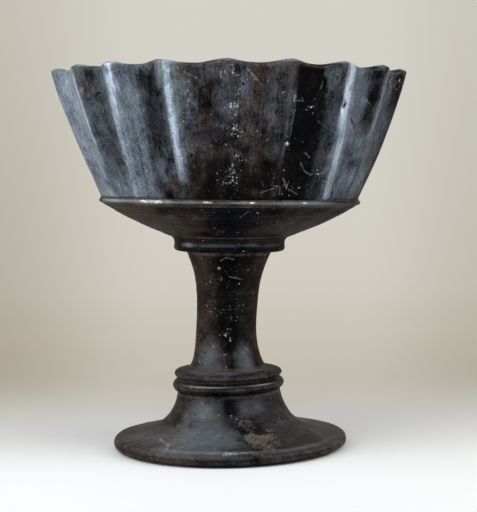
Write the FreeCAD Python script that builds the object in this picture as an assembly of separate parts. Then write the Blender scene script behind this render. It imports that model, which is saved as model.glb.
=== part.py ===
import FreeCAD, Part
import math
import os

# Stemmed cup in black burnished clay, built the way a potter builds it: thrown and
# moulded pieces, luted one on another while leather hard. Millimetres, +Z up, origin
# in the middle of the ring that the foot rests on.

# Foot, a hollow trumpet with a thick brim
brim_radius = 52.4
brim_bulge_height = 2.8
brim_rest_setback = 4.8
brim_arris_setback = 1.4
brim_arris_height = 5.3
rest_width = 4.1
foot_height = 25.6
neck_ledge = 5.5
neck_wall = 7.0

# Stem, a hollow column with a spigot below and a flat seat above
stem_base_radius = 17.4
stem_waist_radius = 13.5
stem_head_spread = 1.6
stem_wall = 5.6
stem_waist_height = 57.0
spigot_wall = 4.0
spigot_length = 4.0
stem_sleeve_height = 9.9
stem_head_height = 88.2

# Two rings round the stem's base; each reach is from the stem's own radius
lower_ring_reach = 7.65
lower_ring_height = 5.9
ring_groove_reach = 5.1
upper_ring_reach = 6.75
upper_ring_shoulder_reach = 5.9
upper_ring_height = 4.4
lower_ring_tip_share = 0.56
upper_ring_tip_share = 0.48
upper_ring_shoulder_share = 0.73

# Collar under the bowl
collar_reach = 5.9
collar_height = 6.3
collar_edge_round = 1.7
collar_flare_reach = 1.3
collar_flare_height = 2.1

# Dish, the bowl's shallow floor
dish_rise = 14.9
dish_edge_radius = 57.0
floor_thickness = 6.2
rebate_width = 2.4

# Cordon round the dish's edge
cordon_reach = 1.2
cordon_height = 2.6
cordon_tip_share = 0.3

# Fluted wall with its scalloped lip
flute_count = 19
wall_height = 56.0
wall_step = 0.4
wall_base_thickness = 5.5
wall_middle_bulge = 1.7
wall_middle_thickness = 3.9
wall_middle_share = 0.46
lip_crest_radius = 79.6
lip_thickness = 3.0
lip_bevel = 1.2
lip_scallop = 1.4
flute_depth = 3.9
arris_drop = 0.8
arris_share = 0.11

# Luting: slip beds between seats, and the gap left round a sleeve or a spigot
slip_thickness = 0.4
luting_gap = 0.1
key_depth = 0.6
key_width = 1.0

# How closely the edges of the wall's faces have to meet
seam_tolerance = 0.001

# How far each arris has drifted round from its even place, as a share of the pitch. They are
# counted from the arris at -Y, to +X, and the one before it is -1
arris_drift_shares = {-5: 0.03, -4: 0.148, -3: 0.14, -2: -0.005, -1: -0.058, 1: 0.026, 2: 0.032, 3: 0.04, 4: 0.037}
# Shares of the foot's spread and rise that its outer slope passes through
foot_slope_shares = [(0.13, 0.036), (0.285, 0.083), (0.42, 0.135), (0.54, 0.185), (0.695, 0.275),
                     (0.825, 0.435), (0.95, 0.73)]
# The same for the hollow under the foot
hollow_slope_shares = [(0.23, 0.085), (0.47, 0.245), (0.69, 0.44), (0.87, 0.67)]
# Shares of the stem's swell over its waist, and of the way up to or down from it
stem_lower_shares = [(0.72, 0.085), (0.51, 0.175), (0.30, 0.32), (0.15, 0.46), (0.06, 0.65)]
stem_upper_shares = [(0.01, 0.18), (0.055, 0.35), (0.19, 0.56), (0.37, 0.705), (0.61, 0.835), (0.865, 0.945)]
# Shares of the dish's spread and rise, underneath and inside
dish_under_shares = [(0.045, 0.034), (0.13, 0.107), (0.29, 0.235), (0.50, 0.43), (0.76, 0.705)]
dish_inside_shares = [(0.36, 0.035), (0.60, 0.20), (0.82, 0.51)]
# Where the keying ridges lie across a wide seat and a narrow one
key_place_shares = [0.33, 0.67]
narrow_key_shares = [0.55]
# Where the curve under the collar's flare passes, as shares of the flare's reach and height
flare_curve_shares = (0.25, 0.67)
# The middle of a quarter round, measured back from its corner
quarter_round_share = 1 - math.sqrt(0.5)
# How far toward its corner each end of a rounding pulls
rounding_pull_share = 0.552

# Radii that follow from one another, so that pieces keep their seats when a size changes
brim_rest_radius = brim_radius - brim_rest_setback
brim_arris_radius = brim_radius - brim_arris_setback
rest_inner_radius = brim_rest_radius - rest_width
foot_neck_radius = stem_base_radius + neck_ledge
hollow_neck_radius = foot_neck_radius - neck_wall
stem_head_radius = stem_base_radius + stem_head_spread
stem_bore_radius = stem_waist_radius - stem_wall
spigot_radius = stem_bore_radius + spigot_wall
socket_radius = spigot_radius + luting_gap
ring_bore_radius = stem_base_radius + luting_gap
lower_ring_radius = stem_base_radius + lower_ring_reach
ring_groove_radius = stem_base_radius + ring_groove_reach
upper_ring_radius = stem_base_radius + upper_ring_reach
upper_ring_shoulder_radius = stem_base_radius + upper_ring_shoulder_reach
collar_bore_radius = stem_head_radius + luting_gap
collar_radius = stem_head_radius + collar_reach
collar_flare_radius = collar_radius + collar_flare_reach
wall_seat_radius = dish_edge_radius - rebate_width
cordon_radius = dish_edge_radius + cordon_reach
wall_base_radius = dish_edge_radius + wall_step
wall_inner_radius = wall_base_radius - wall_base_thickness
wall_middle_radius = (wall_base_radius + wall_middle_share * (lip_crest_radius - wall_base_radius)
                      + wall_middle_bulge)

# Levels, from the table up
lower_ring_top = foot_height + lower_ring_height
upper_ring_top = lower_ring_top + upper_ring_height
stem_bottom = foot_height + slip_thickness
stem_sleeve_top = stem_bottom + stem_sleeve_height
dish_bottom = stem_head_height + collar_height
stem_top = dish_bottom - slip_thickness
cordon_bottom = dish_bottom + dish_rise
wall_bottom = cordon_bottom + cordon_height
dish_edge_top = wall_bottom - slip_thickness
lip_top = wall_bottom + wall_height


def at(radius, height):
    """A point of a lathe profile."""
    return FreeCAD.Vector(radius, 0, height)


def line(start, end):
    return Part.makeLine(start, end)


def arc(start, middle, end):
    return Part.Arc(start, middle, end).toShape()


def curve(points):
    """One smooth edge through the points."""
    spline = Part.BSplineCurve()
    spline.interpolate(points)
    return spline.toShape()


def rounding(start, corner, end):
    """A quarter round that leaves start and reaches end along the lines to the corner."""
    bend = Part.BezierCurve()
    bend.setPoles([start, start + (corner - start) * rounding_pull_share,
                   end + (corner - end) * rounding_pull_share, end])
    return bend.toShape()


def leaning_in(start, end):
    """An arc that leaves start straight up and leans in to end."""
    across = start.x - end.x
    up = end.z - start.z
    radius = (across ** 2 + up ** 2) / (2 * across)
    half_turn = math.atan2(up, radius - across) / 2
    middle = at(start.x - radius * (1 - math.cos(half_turn)), start.z + radius * math.sin(half_turn))
    return arc(start, middle, end)


def between(start, end, shares):
    """Points at shares of the way from start to end, across and up."""
    return [at(start.x + across * (end.x - start.x), start.z + up * (end.z - start.z))
            for across, up in shares]


def turned(edges):
    """The solid that a closed profile makes when it is turned on the wheel."""
    face = Part.Face(Part.Wire(edges))
    solid = face.revolve(FreeCAD.Vector(0, 0, 0), FreeCAD.Vector(0, 0, 1), 360)
    if solid.Volume < 0:
        solid.reverse()
    return solid


def straight(points):
    """Straight edges that join the points in turn."""
    return [line(a, b) for a, b in zip(points, points[1:])]


def band(inner, outer, bottom, top):
    """A plain ring, square in section."""
    corners = [at(inner, bottom), at(outer, bottom), at(outer, top), at(inner, top), at(inner, bottom)]
    return turned(straight(corners))


def keyed(piece, inner, outer, level, way, places):
    """Scores keying grooves into a seat; way is +1 to cut upward, -1 downward."""
    half = key_width / 2 + luting_gap
    low, high = sorted((level, level + way * key_depth))
    for place in places:
        radius = inner + place * (outer - inner)
        piece = piece.cut(band(radius - half, radius + half, low, high))
    return piece


def slip_bed(inner, outer, bottom, top, places):
    """A bed of slip, with ridges that fill the grooves above and below it."""
    bed = band(inner, outer, bottom, top)
    half = key_width / 2
    reach = key_depth - luting_gap
    for place in places:
        radius = inner + place * (outer - inner)
        bed = bed.fuse(band(radius - half, radius + half, bottom - reach, top + reach))
    return bed.removeSplitter()


def make_foot():
    rest = at(brim_rest_radius, 0)
    bulge = at(brim_radius, brim_bulge_height)
    arris = at(brim_arris_radius, brim_arris_height)
    neck = at(foot_neck_radius, foot_height)
    hollow_start = at(rest_inner_radius, 0)
    socket_bottom = stem_bottom - spigot_length - luting_gap
    hollow_end = at(hollow_neck_radius, socket_bottom)
    socket_low = at(socket_radius, socket_bottom)
    socket_high = at(socket_radius, foot_height)
    edges = [line(hollow_start, rest), rounding(rest, at(brim_radius, 0), bulge), leaning_in(bulge, arris)]
    edges.append(curve([arris] + between(arris, neck, foot_slope_shares) + [neck]))
    edges.append(line(neck, socket_high))
    edges.append(line(socket_high, socket_low))
    edges.append(line(socket_low, hollow_end))
    edges.append(curve([hollow_end] + between(hollow_start, hollow_end, hollow_slope_shares)[::-1] + [hollow_start]))
    return keyed(turned(edges), socket_radius, stem_base_radius, foot_height, -1, key_place_shares)


def make_lower_ring():
    bottom = at(foot_neck_radius, foot_height)
    tip = at(lower_ring_radius, foot_height + lower_ring_tip_share * lower_ring_height)
    top = at(ring_groove_radius, lower_ring_top)
    edges = [arc(bottom, tip, top)]
    edges += straight([top, at(ring_bore_radius, lower_ring_top), at(ring_bore_radius, foot_height), bottom])
    return turned(edges)


def make_upper_ring():
    bottom = at(ring_groove_radius, lower_ring_top)
    tip = at(upper_ring_radius, lower_ring_top + upper_ring_tip_share * upper_ring_height)
    shoulder = at(upper_ring_shoulder_radius, lower_ring_top + upper_ring_shoulder_share * upper_ring_height)
    top = at(ring_bore_radius, upper_ring_top)
    edges = [arc(bottom, tip, shoulder)]
    edges += straight([shoulder, top, at(ring_bore_radius, lower_ring_top), bottom])
    return turned(edges)


def make_stem():
    sleeve = at(stem_base_radius, stem_sleeve_top)
    waist = at(stem_waist_radius, stem_waist_height)
    head = at(stem_head_radius, stem_head_height)
    lower = [at(stem_waist_radius + swell * (stem_base_radius - stem_waist_radius),
                stem_sleeve_top + way * (stem_waist_height - stem_sleeve_top))
             for swell, way in stem_lower_shares]
    upper = [at(stem_waist_radius + swell * (stem_head_radius - stem_waist_radius),
                stem_waist_height + way * (stem_head_height - stem_waist_height))
             for swell, way in stem_upper_shares]
    spigot_end = stem_bottom - spigot_length
    edges = [curve([sleeve] + lower + [waist] + upper + [head])]
    edges += straight([head, at(stem_head_radius, stem_top), at(stem_bore_radius, stem_top),
                       at(stem_bore_radius, spigot_end), at(spigot_radius, spigot_end),
                       at(spigot_radius, stem_bottom), at(stem_base_radius, stem_bottom), sleeve])
    stem = keyed(turned(edges), socket_radius, stem_base_radius, stem_bottom, 1, key_place_shares)
    return keyed(stem, stem_bore_radius, stem_head_radius, stem_top, -1, key_place_shares)


def make_collar():
    bottom = stem_head_height
    lower_edge = at(collar_radius - collar_edge_round, bottom)
    side_low = at(collar_radius, bottom + collar_edge_round)
    turn = collar_edge_round * quarter_round_share
    corner = at(collar_radius - turn, bottom + turn)
    side_high = at(collar_radius, dish_bottom - collar_flare_height)
    flare = at(collar_flare_radius, dish_bottom)
    hollow, = between(side_high, flare, [flare_curve_shares])
    edges = [arc(lower_edge, corner, side_low), line(side_low, side_high), arc(side_high, hollow, flare)]
    edges += straight([flare, at(collar_bore_radius, dish_bottom), at(collar_bore_radius, bottom), lower_edge])
    return turned(edges)


def make_dish():
    under_start = at(collar_flare_radius, dish_bottom)
    under_end = at(dish_edge_radius, cordon_bottom)
    floor_middle = at(0, dish_bottom + floor_thickness)
    inside_end = at(wall_inner_radius, dish_edge_top)
    edges = [line(at(0, dish_bottom), under_start)]
    edges.append(curve([under_start] + between(under_start, under_end, dish_under_shares) + [under_end]))
    edges += straight([under_end, at(wall_seat_radius, cordon_bottom), at(wall_seat_radius, dish_edge_top), inside_end])
    edges.append(curve([inside_end] + between(floor_middle, inside_end, dish_inside_shares)[::-1] + [floor_middle]))
    edges.append(line(floor_middle, at(0, dish_bottom)))
    dish = keyed(turned(edges), stem_bore_radius, stem_head_radius, dish_bottom, 1, key_place_shares)
    return keyed(dish, wall_inner_radius, wall_seat_radius, dish_edge_top, -1, narrow_key_shares)


def make_cordon():
    inner = wall_seat_radius + luting_gap
    tip = at(cordon_radius, cordon_bottom + cordon_tip_share * cordon_height)
    outline = [at(inner, cordon_bottom), at(dish_edge_radius, cordon_bottom), tip,
               at(wall_base_radius, wall_bottom), at(inner, wall_bottom), at(inner, cordon_bottom)]
    return turned(straight(outline))


def round_wire(radius, height):
    """A circle split where the flutes and arrises of the wall above it begin."""
    return flute_wire(radius, radius, radius, height, height)


def flute_wire(crest, shoulder, hollow, crest_height, hollow_height):
    """One turn of the wall: a convex arris and a concave flute, flute_count times.

    The first arris faces -Y. Shoulder is the radius where an arris passes into a flute.
    """
    pitch = 2 * math.pi / flute_count
    half_arris = arris_share * pitch
    before = [number - flute_count if 2 * number > flute_count else number for number in range(flute_count)]
    middles = [(number + arris_drift_shares.get(signed, 0)) * pitch for number, signed in enumerate(before)]
    middles.append(middles[0] + 2 * math.pi)
    depth = crest - hollow
    shoulder_share = (crest - shoulder) / depth if depth else 0
    shoulder_height = crest_height - shoulder_share * (crest_height - hollow_height)

    def point(radius, angle, height):
        return FreeCAD.Vector(radius * math.sin(angle), -radius * math.cos(angle), height)

    edges = []
    for middle, following in zip(middles, middles[1:]):
        start = point(shoulder, middle - half_arris, shoulder_height)
        top = point(crest, middle, crest_height)
        end = point(shoulder, middle + half_arris, shoulder_height)
        floor = point(hollow, (middle + following) / 2, hollow_height)
        onward = point(shoulder, following - half_arris, shoulder_height)
        edges += [arc(start, top, end), arc(end, floor, onward)]
    return Part.Wire(edges)


def make_wall():
    middle_height = wall_bottom + wall_middle_share * wall_height
    growth = wall_middle_share
    wires = []
    for thickness_base, thickness_middle, inset, rise in (
            (0, 0, 0, -lip_bevel),
            (wall_base_thickness, wall_middle_thickness, lip_thickness, 0)):
        base = round_wire(wall_base_radius - thickness_base, wall_bottom)
        crest = wall_middle_radius - thickness_middle
        middle = flute_wire(crest, crest - growth * arris_drop, crest - growth * flute_depth,
                            middle_height, middle_height)
        crest = lip_crest_radius - inset
        lip = flute_wire(crest, crest - arris_drop, crest - flute_depth,
                         lip_top + rise, lip_top + rise - lip_scallop)
        wires.append((base, middle, lip))
    faces = []
    for sections in wires:
        faces += Part.makeLoft(list(sections), False, False).Faces
    outer, inner = wires
    for outer_edge, inner_edge in zip(outer[2].Edges, inner[2].Edges):
        faces.append(Part.makeRuledSurface(outer_edge, inner_edge))
    faces.append(Part.Face([outer[0], inner[0]]))
    shell = Part.Shell(faces)
    shell.sewShape(seam_tolerance)
    wall = Part.makeSolid(shell)
    wall.fix(seam_tolerance, seam_tolerance, seam_tolerance)
    return keyed(wall, wall_inner_radius, wall_seat_radius, wall_bottom, 1, narrow_key_shares)


pieces = {
    "foot": make_foot(),
    "foot_slip_bed": slip_bed(socket_radius, stem_base_radius, foot_height, stem_bottom,
                              key_place_shares),
    "lower_stem_ring": make_lower_ring(),
    "upper_stem_ring": make_upper_ring(),
    "stem": make_stem(),
    "stem_slip_bed": slip_bed(stem_bore_radius, stem_head_radius, stem_top, dish_bottom, key_place_shares),
    "stem_collar": make_collar(),
    "bowl_dish": make_dish(),
    "dish_cordon": make_cordon(),
    "wall_slip_bed": slip_bed(wall_inner_radius, wall_seat_radius, dish_edge_top, wall_bottom,
                              narrow_key_shares),
    "fluted_wall": make_wall(),
}

for name, shape in pieces.items():
    shape.exportStep("parts/" + name + ".step")
    print(name, "valid", shape.isValid(), "solids", len(shape.Solids), "volume", round(shape.Volume, 1))
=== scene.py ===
import math

import bmesh
import bpy
import numpy as np
from bpy.props import FloatProperty, FloatVectorProperty, IntProperty, PointerProperty
from mathutils import Matrix, Vector


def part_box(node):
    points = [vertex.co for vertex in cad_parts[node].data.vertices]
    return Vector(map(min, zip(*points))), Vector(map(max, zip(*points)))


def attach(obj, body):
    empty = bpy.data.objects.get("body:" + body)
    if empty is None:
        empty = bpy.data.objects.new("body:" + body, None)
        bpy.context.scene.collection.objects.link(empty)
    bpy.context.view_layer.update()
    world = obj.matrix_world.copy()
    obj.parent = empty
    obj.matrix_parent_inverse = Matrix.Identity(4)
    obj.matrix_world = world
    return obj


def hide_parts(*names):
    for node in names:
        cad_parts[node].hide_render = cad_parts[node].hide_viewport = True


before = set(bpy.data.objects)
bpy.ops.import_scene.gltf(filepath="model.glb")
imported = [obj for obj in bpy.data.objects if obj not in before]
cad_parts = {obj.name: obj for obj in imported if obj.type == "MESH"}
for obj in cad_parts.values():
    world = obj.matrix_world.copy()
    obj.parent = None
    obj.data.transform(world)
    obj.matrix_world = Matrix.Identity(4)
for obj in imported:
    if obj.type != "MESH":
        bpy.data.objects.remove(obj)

bl_info = {
    "name": "Fluted clay cup",
    "version": (1, 0, 0),
    "blender": (4, 5, 0),
    "location": "View3D > Sidebar > Clay cup",
    "description": "Makes the looks of a stemmed, fluted cup of burnished black clay over its packed model",
    "category": "Object",
}

# Everything is in metres, in the frame's own axes: +Z up, and -Y towards the camera.
# An angle round the cup is 0 at the front and grows towards +X.

BOXES = {name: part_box(name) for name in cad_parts}


def reach(node):
    """A node's outermost radius in the frame."""
    return BOXES[node][1].x


def foot_of(node):
    return BOXES[node][0].z


def head_of(node):
    return BOXES[node][1].z


# The cup leans as it was thrown: how far its axis has moved to the right, by height
LEAN = ((0, 0), (0.020, 0), (0.035, -0.0003), (0.050, -0.0008), (0.066, 0), (0.088, 0.0013),
        (0.110, 0.0019), (0.168, 0.0023))
# How many degrees each level rises towards +X
TILT = ((0, 0), (0.012, 0), (0.029, 0.8), (0.034, -0.1), (0.045, 0), (0.072, 0), (0.087, -1.2),
        (0.110, -1.7), (0.168, -1.1))
# How many degrees a ridge has drifted from its even place, by angle
RIDGE_DRIFT = ((-180, 0), (-100, 0), (-76, 2.8), (-57, 2.6), (-38, -0.1), (-19, -1.1), (0, 0),
               (38, 0.6), (76, 0.7), (110, 0), (180, 0))

# Spacing of the mesh along a line that shows its curve, and along a straight or hidden one
FINE, PLAIN = 0.00042, 0.0013
# Scratches and cracks are measured on a cylinder of this radius, which leans with the cup
SCORE_REACH = 0.06
LEAN_PER_METRE = 0.0137
# What the lustre and its painted sheen are tinted with, on the wall and on the body
COOL, WARM = (0.96, 1.0, 1.07), (1.0, 0.95, 0.92)
# Lower than this, a point rests on the floor
RESTING = 0.0001
# Points nearer than this are one
SAME_PLACE = 1e-7
# Keeps a divisor off 0
OFF_ZERO = 1e-5


def length(name, description, default, precision=4):
    return FloatProperty(name=name, description=description, default=default, unit="LENGTH",
                         precision=precision)


def colour(name, description, default):
    return FloatVectorProperty(name=name, description=description, default=default, subtype="COLOR",
                               size=3, min=0, max=1)


class FluteSizes(bpy.types.PropertyGroup):
    """The fluted wall."""

    count: IntProperty(name="Flutes", description="Flutes round the wall", default=19, min=3)
    depth: length("Depth", "Depth of a flute at the lip", 0.0039)
    softness: FloatProperty(name="Ridge softness", description="Rounding of a ridge, as a share of a flute",
                            default=0.125, min=0.005, max=0.3)
    scallop: length("Scallop", "Dip of the lip over a flute", 0.0014)
    base_radius: length("Base radius", "Outside of the wall where it meets the cordon", 0.0574)
    lip_radius: length("Lip radius", "Ridges' reach at the lip", reach("fluted_wall"))
    bulge: length("Bulge", "Outward swell of the wall at half height", 0.0017)
    base_thickness: length("Base thickness", "Thickness of the wall at its base", 0.0055)
    lip_thickness: length("Lip thickness", "Thickness of the wall at its lip", 0.0030)
    bevel: length("Lip bevel", "How much lower the lip's outer edge is", 0.0012)
    lip_round: length("Lip rounding", "Rounding of the lip's edges", 0.0006)
    unevenness: FloatProperty(name="Unevenness", description="How much one flute differs from the next",
                              default=0.22, min=0, max=1)
    columns: IntProperty(name="Columns", description="Mesh columns in one flute", default=44, min=8)
    rows: IntProperty(name="Rows", description="Mesh rows from the base over the lip and back",
                      default=108, min=20)
    seed: IntProperty(name="Seed", description="Seed of the flutes' unevenness", default=7)


class BodySizes(bpy.types.PropertyGroup):
    """The turned pieces under the wall."""

    neck_radius: length("Neck radius", "The foot's neck under the rings", 0.0229)
    neck_hollow: length("Neck hollow", "Radius of the hollow in the foot's neck", 0.0159)
    rest_inner: length("Resting ring, inside", "Inner radius of the ring the foot rests on", 0.0435)
    rest_outer: length("Resting ring, outside", "Outer radius of the ring the foot rests on", 0.0476)
    brim_height: length("Brim height", "Height of the foot's thick edge", 0.0053)
    stem_base: length("Stem base", "The stem's radius at its foot", 0.0174)
    stem_waist: length("Stem waist", "The stem's least radius", 0.0135)
    stem_bore: length("Stem bore", "Radius of the hollow in the stem", 0.0079)
    spigot: length("Spigot", "Radius of the stem's spigot in the foot", 0.0119)
    waist_height: length("Waist height", "Height of the stem's waist", 0.057)
    softening: length("Edge softening", "How far edges were rubbed round", 0.00022, precision=5)
    dents: length("Dents", "Depth of the broad dents left by the hand", 0.00010, precision=5)
    ripple: length("Turning ripple", "Depth of the lines left by turning", 0.000035, precision=6)


class ClayLook(bpy.types.PropertyGroup):
    """Colours and gloss of the clay."""

    black: colour("Black", "Reduced, burnished clay", (0.0014, 0.0015, 0.0020))
    brown: colour("Brown", "Clay where the black has worn or fired brown", (0.034, 0.020, 0.016))
    olive: colour("Olive", "Thin earth film in the hollows", (0.034, 0.034, 0.020))
    haze: colour("Haze", "Thin violet bloom on the black", (0.042, 0.038, 0.056))
    # Painted sheen and highlights: the colour laid along the lustre mask, partly real graphite lustre
    lustre_and_painted_sheen: colour("Lustre", "Graphite sheen left by the burnishing stone", (0.72, 0.80, 0.92))
    worn: colour("Worn", "Edges rubbed through the burnish", (0.110, 0.096, 0.084))
    speck: colour("Speck", "Pale grit in the clay", (0.54, 0.54, 0.55))
    chip: colour("Chip", "Fresh pale chips", (0.86, 0.85, 0.82))
    crust: colour("Crust", "Tan earth that still clings", (0.140, 0.120, 0.100))
    slip: colour("Slip", "Slip in the joints", (0.060, 0.050, 0.042))
    matt: FloatProperty(name="Matt roughness", description="Roughness of the clay under the burnish",
                        default=0.48)
    gloss: FloatProperty(name="Burnish roughness", description="Roughness of the burnished skin",
                         default=0.26)


class StageLook(bpy.types.PropertyGroup):
    """Floor, backdrop, lamps and camera."""

    floor: colour("Floor", "Floor near the camera", (0.93, 0.93, 0.93))
    # Painted shade: shade darkens the floor and backdrop behind the cup, and edge darkens their sides
    shade: colour("Shade", "Floor and backdrop where they meet", (0.585, 0.545, 0.465))
    backdrop: colour("Backdrop", "Backdrop higher up", (0.660, 0.640, 0.585))
    edge: colour("Edge", "Tint of the backdrop's sides", (0.74, 0.72, 0.66))
    lamp: FloatProperty(name="Lamps", description="Power of each side lamp in watts", default=6.85)
    distance: FloatProperty(name="Camera distance", description="From the camera to the cup's axis",
                            default=0.619, unit="LENGTH")
    height: FloatProperty(name="Camera height", description="Height of the camera over the floor",
                          default=0.12215, unit="LENGTH")
    side: FloatProperty(name="Camera side", description="How far the camera stands to the right",
                        default=0.0054, unit="LENGTH")
    pitch: FloatProperty(name="Camera pitch", description="How far the camera looks down",
                         default=math.radians(3.38), subtype="ANGLE")
    roll: FloatProperty(name="Camera roll", description="How far the picture turns",
                        default=math.radians(1.05), subtype="ANGLE")
    lens: FloatProperty(name="Lens", description="Focal length in millimetres", default=97.0)


class Value:
    """A number in a node tree. It wraps a socket, so that sums are written as sums."""

    def __init__(self, graph, socket):
        self.graph = graph
        self.socket = socket

    def sum(self, operation, *others):
        return self.graph.node("ShaderNodeMath", {"operation": operation}, [self, *others])

    def __add__(self, other):
        return self.sum("ADD", other)

    __radd__ = __add__

    def __sub__(self, other):
        return self.sum("SUBTRACT", other)

    def __rsub__(self, other):
        return self.graph.node("ShaderNodeMath", {"operation": "SUBTRACT"}, [other, self])

    def __mul__(self, other):
        return self.sum("MULTIPLY", other)

    __rmul__ = __mul__

    def __truediv__(self, other):
        return self.sum("DIVIDE", other)

    def __rtruediv__(self, other):
        return self.graph.node("ShaderNodeMath", {"operation": "DIVIDE"}, [other, self])

    def __pow__(self, power):
        return self.sum("POWER", power)

    def __abs__(self):
        return self.sum("ABSOLUTE")

    def clamped(self):
        """Held between 0 and 1."""
        return self.graph.node("ShaderNodeMath", {"operation": "ADD", "use_clamp": True}, [self, 0])

    def rise(self, low, high):
        """0 below low and 1 above high, smooth between."""
        return self.graph.node("ShaderNodeMapRange", {"interpolation_type": "SMOOTHSTEP"},
                               {"Value": self, "From Min": low, "From Max": high})

    def other(self, name):
        """Another output of the same node."""
        return Value(self.graph, self.socket.node.outputs[name])


class Graph:
    """A node tree that is written as expressions."""

    def __init__(self, tree):
        self.tree = tree
        tree.nodes.clear()

    def node(self, kind, settings=None, values=(), output=0):
        """Adds a node: its settings first, then its sockets' values or links."""
        node = self.tree.nodes.new(kind)
        for name, setting in (settings or {}).items():
            setattr(node, name, setting)
        for key, value in values.items() if isinstance(values, dict) else enumerate(values):
            self.feed(node.inputs[key], value)
        return Value(self, node.outputs[output]) if node.outputs else node

    def feed(self, socket, value):
        if isinstance(value, Value):
            self.tree.links.new(value.socket, socket)
        elif hasattr(value, "__len__") and not isinstance(value, str) and socket.type == "RGBA":
            socket.default_value = (*value, 1)
        else:
            socket.default_value = value

    def vector(self, x, y, z):
        return self.node("ShaderNodeCombineXYZ", values=[x, y, z])

    def vectors(self, operation, values, output=0):
        return self.node("ShaderNodeVectorMath", {"operation": operation}, values, output)

    def parts(self, vector):
        x = self.node("ShaderNodeSeparateXYZ", values=[vector])
        return x, x.other("Y"), x.other("Z")

    def noise(self, place, scale, detail=4.0, roughness=0.55, distortion=0.0):
        """Noise that swings about 0, mostly from -0.5 to 0.5."""
        swing = self.node("ShaderNodeTexNoise", {"noise_dimensions": "3D"},
                          {"Vector": place, "Scale": scale, "Detail": detail, "Roughness": roughness,
                           "Distortion": distortion})
        return (swing - 0.5) * 2.2

    def mixed(self, share, first, second, way="MIX"):
        """One colour laid over another."""
        return self.node("ShaderNodeMix", {"data_type": "RGBA", "blend_type": way},
                         {0: share, 6: first, 7: second}, output=2)


def on_curve(along, points, slopes, at):
    """A smooth curve with these points and slopes along it, at each place of at."""
    spot = np.clip(np.searchsorted(along, at, side="right") - 1, 0, len(along) - 2)
    span = along[spot + 1] - along[spot]
    t = (at - along[spot]) / span
    if points.ndim > 1:
        span, t = span[:, None], t[:, None]
    return (points[spot] * (1 + 2 * t) * (1 - t) ** 2 + points[spot + 1] * t * t * (3 - 2 * t)
            + span * (slopes[spot] * t * (1 - t) ** 2 - slopes[spot + 1] * t * t * (1 - t)))


def through(points, at):
    """A smooth line through the points, level at its two ends."""
    places, heights = np.array(points, float).T
    slopes = np.gradient(heights, places)
    slopes[0] = slopes[-1] = 0
    return on_curve(places, heights, slopes, np.clip(at, places[0], places[-1]))


def lengths_along(line):
    """How far each point lies along a line."""
    return np.concatenate([[0], np.cumsum(np.linalg.norm(np.diff(line, axis=0), axis=1))])


def waves(points, length, seed, count=26):
    """Smooth noise of about -1 to 1, whose swells are about that length."""
    chance = np.random.default_rng(seed)
    ways = chance.normal(size=(count, 3))
    ways /= np.linalg.norm(ways, axis=1)[:, None] * length * chance.uniform(0.7, 1.5, count)[:, None]
    starts = chance.uniform(0, 2 * math.pi, count)
    return np.sin(points @ ways.T * 2 * math.pi + starts).sum(1) / math.sqrt(count)


def straight(*points):
    return np.array(points, float)


def curved(*points):
    """A smooth curve through the points."""
    points = np.array(points, float)
    along = lengths_along(points)
    slopes = np.gradient(points, along, axis=0)
    return on_curve(along, points, slopes, np.linspace(0, along[-1], 40 * len(points)))


def rounded(start, corner, end):
    """A quarter round from start to end, tangent to the lines through the corner."""
    start, corner, end = (np.array(p, float) for p in (start, corner, end))
    pull = 0.552
    first = start + pull * (corner - start)
    second = end + pull * (corner - end)
    t = np.linspace(0, 1, 24)[:, None]
    return (1 - t) ** 3 * start + 3 * t * (1 - t) ** 2 * first + 3 * t * t * (1 - t) * second + t ** 3 * end


def between(start, end, shares):
    """Points at shares of the way from start to end, across and up."""
    return [(start[0] + across * (end[0] - start[0]), start[1] + up * (end[1] - start[1]))
            for across, up in shares]


def outline(runs, softening):
    """One closed outline from runs of (line, spacing), its corners rubbed round.

    It goes up the outside and down the inside. Each run is sampled finely, the whole is
    smoothed, and then each run keeps a point at its own spacing.
    """
    fine = softening / 3
    dense, kept, total = [], [], 0
    for line, spacing in runs:
        along = lengths_along(line)
        count = max(2, int(round(along[-1] / fine)))
        places = np.arange(count) / count * along[-1]
        dense.append(np.column_stack([np.interp(places, along, line[:, axis]) for axis in (0, 1)]))
        wanted = max(1, int(round(along[-1] / spacing)))
        kept.append(total + np.unique(np.round(np.arange(wanted) / wanted * count).astype(int)))
        total += count
    dense = np.concatenate(dense)
    open_ended = dense[0, 0] == 0
    reach_of_rub = 9
    weights = np.exp(-0.5 * (np.arange(-reach_of_rub, reach_of_rub + 1) / 3) ** 2)
    weights /= weights.sum()
    if open_ended:
        last = runs[-1][0][-1]
        padded = np.concatenate([np.repeat(dense[:1], reach_of_rub, 0), dense,
                                 np.repeat([last], reach_of_rub, 0)])
    else:
        padded = np.concatenate([dense[-reach_of_rub:], dense, dense[:reach_of_rub]])
    smooth = np.column_stack([np.convolve(padded[:, axis], weights, "valid") for axis in (0, 1)])
    picked = smooth[np.concatenate(kept)]
    if open_ended:
        picked = np.concatenate([[dense[0]], picked[1:], [last]])
    return picked


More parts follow.
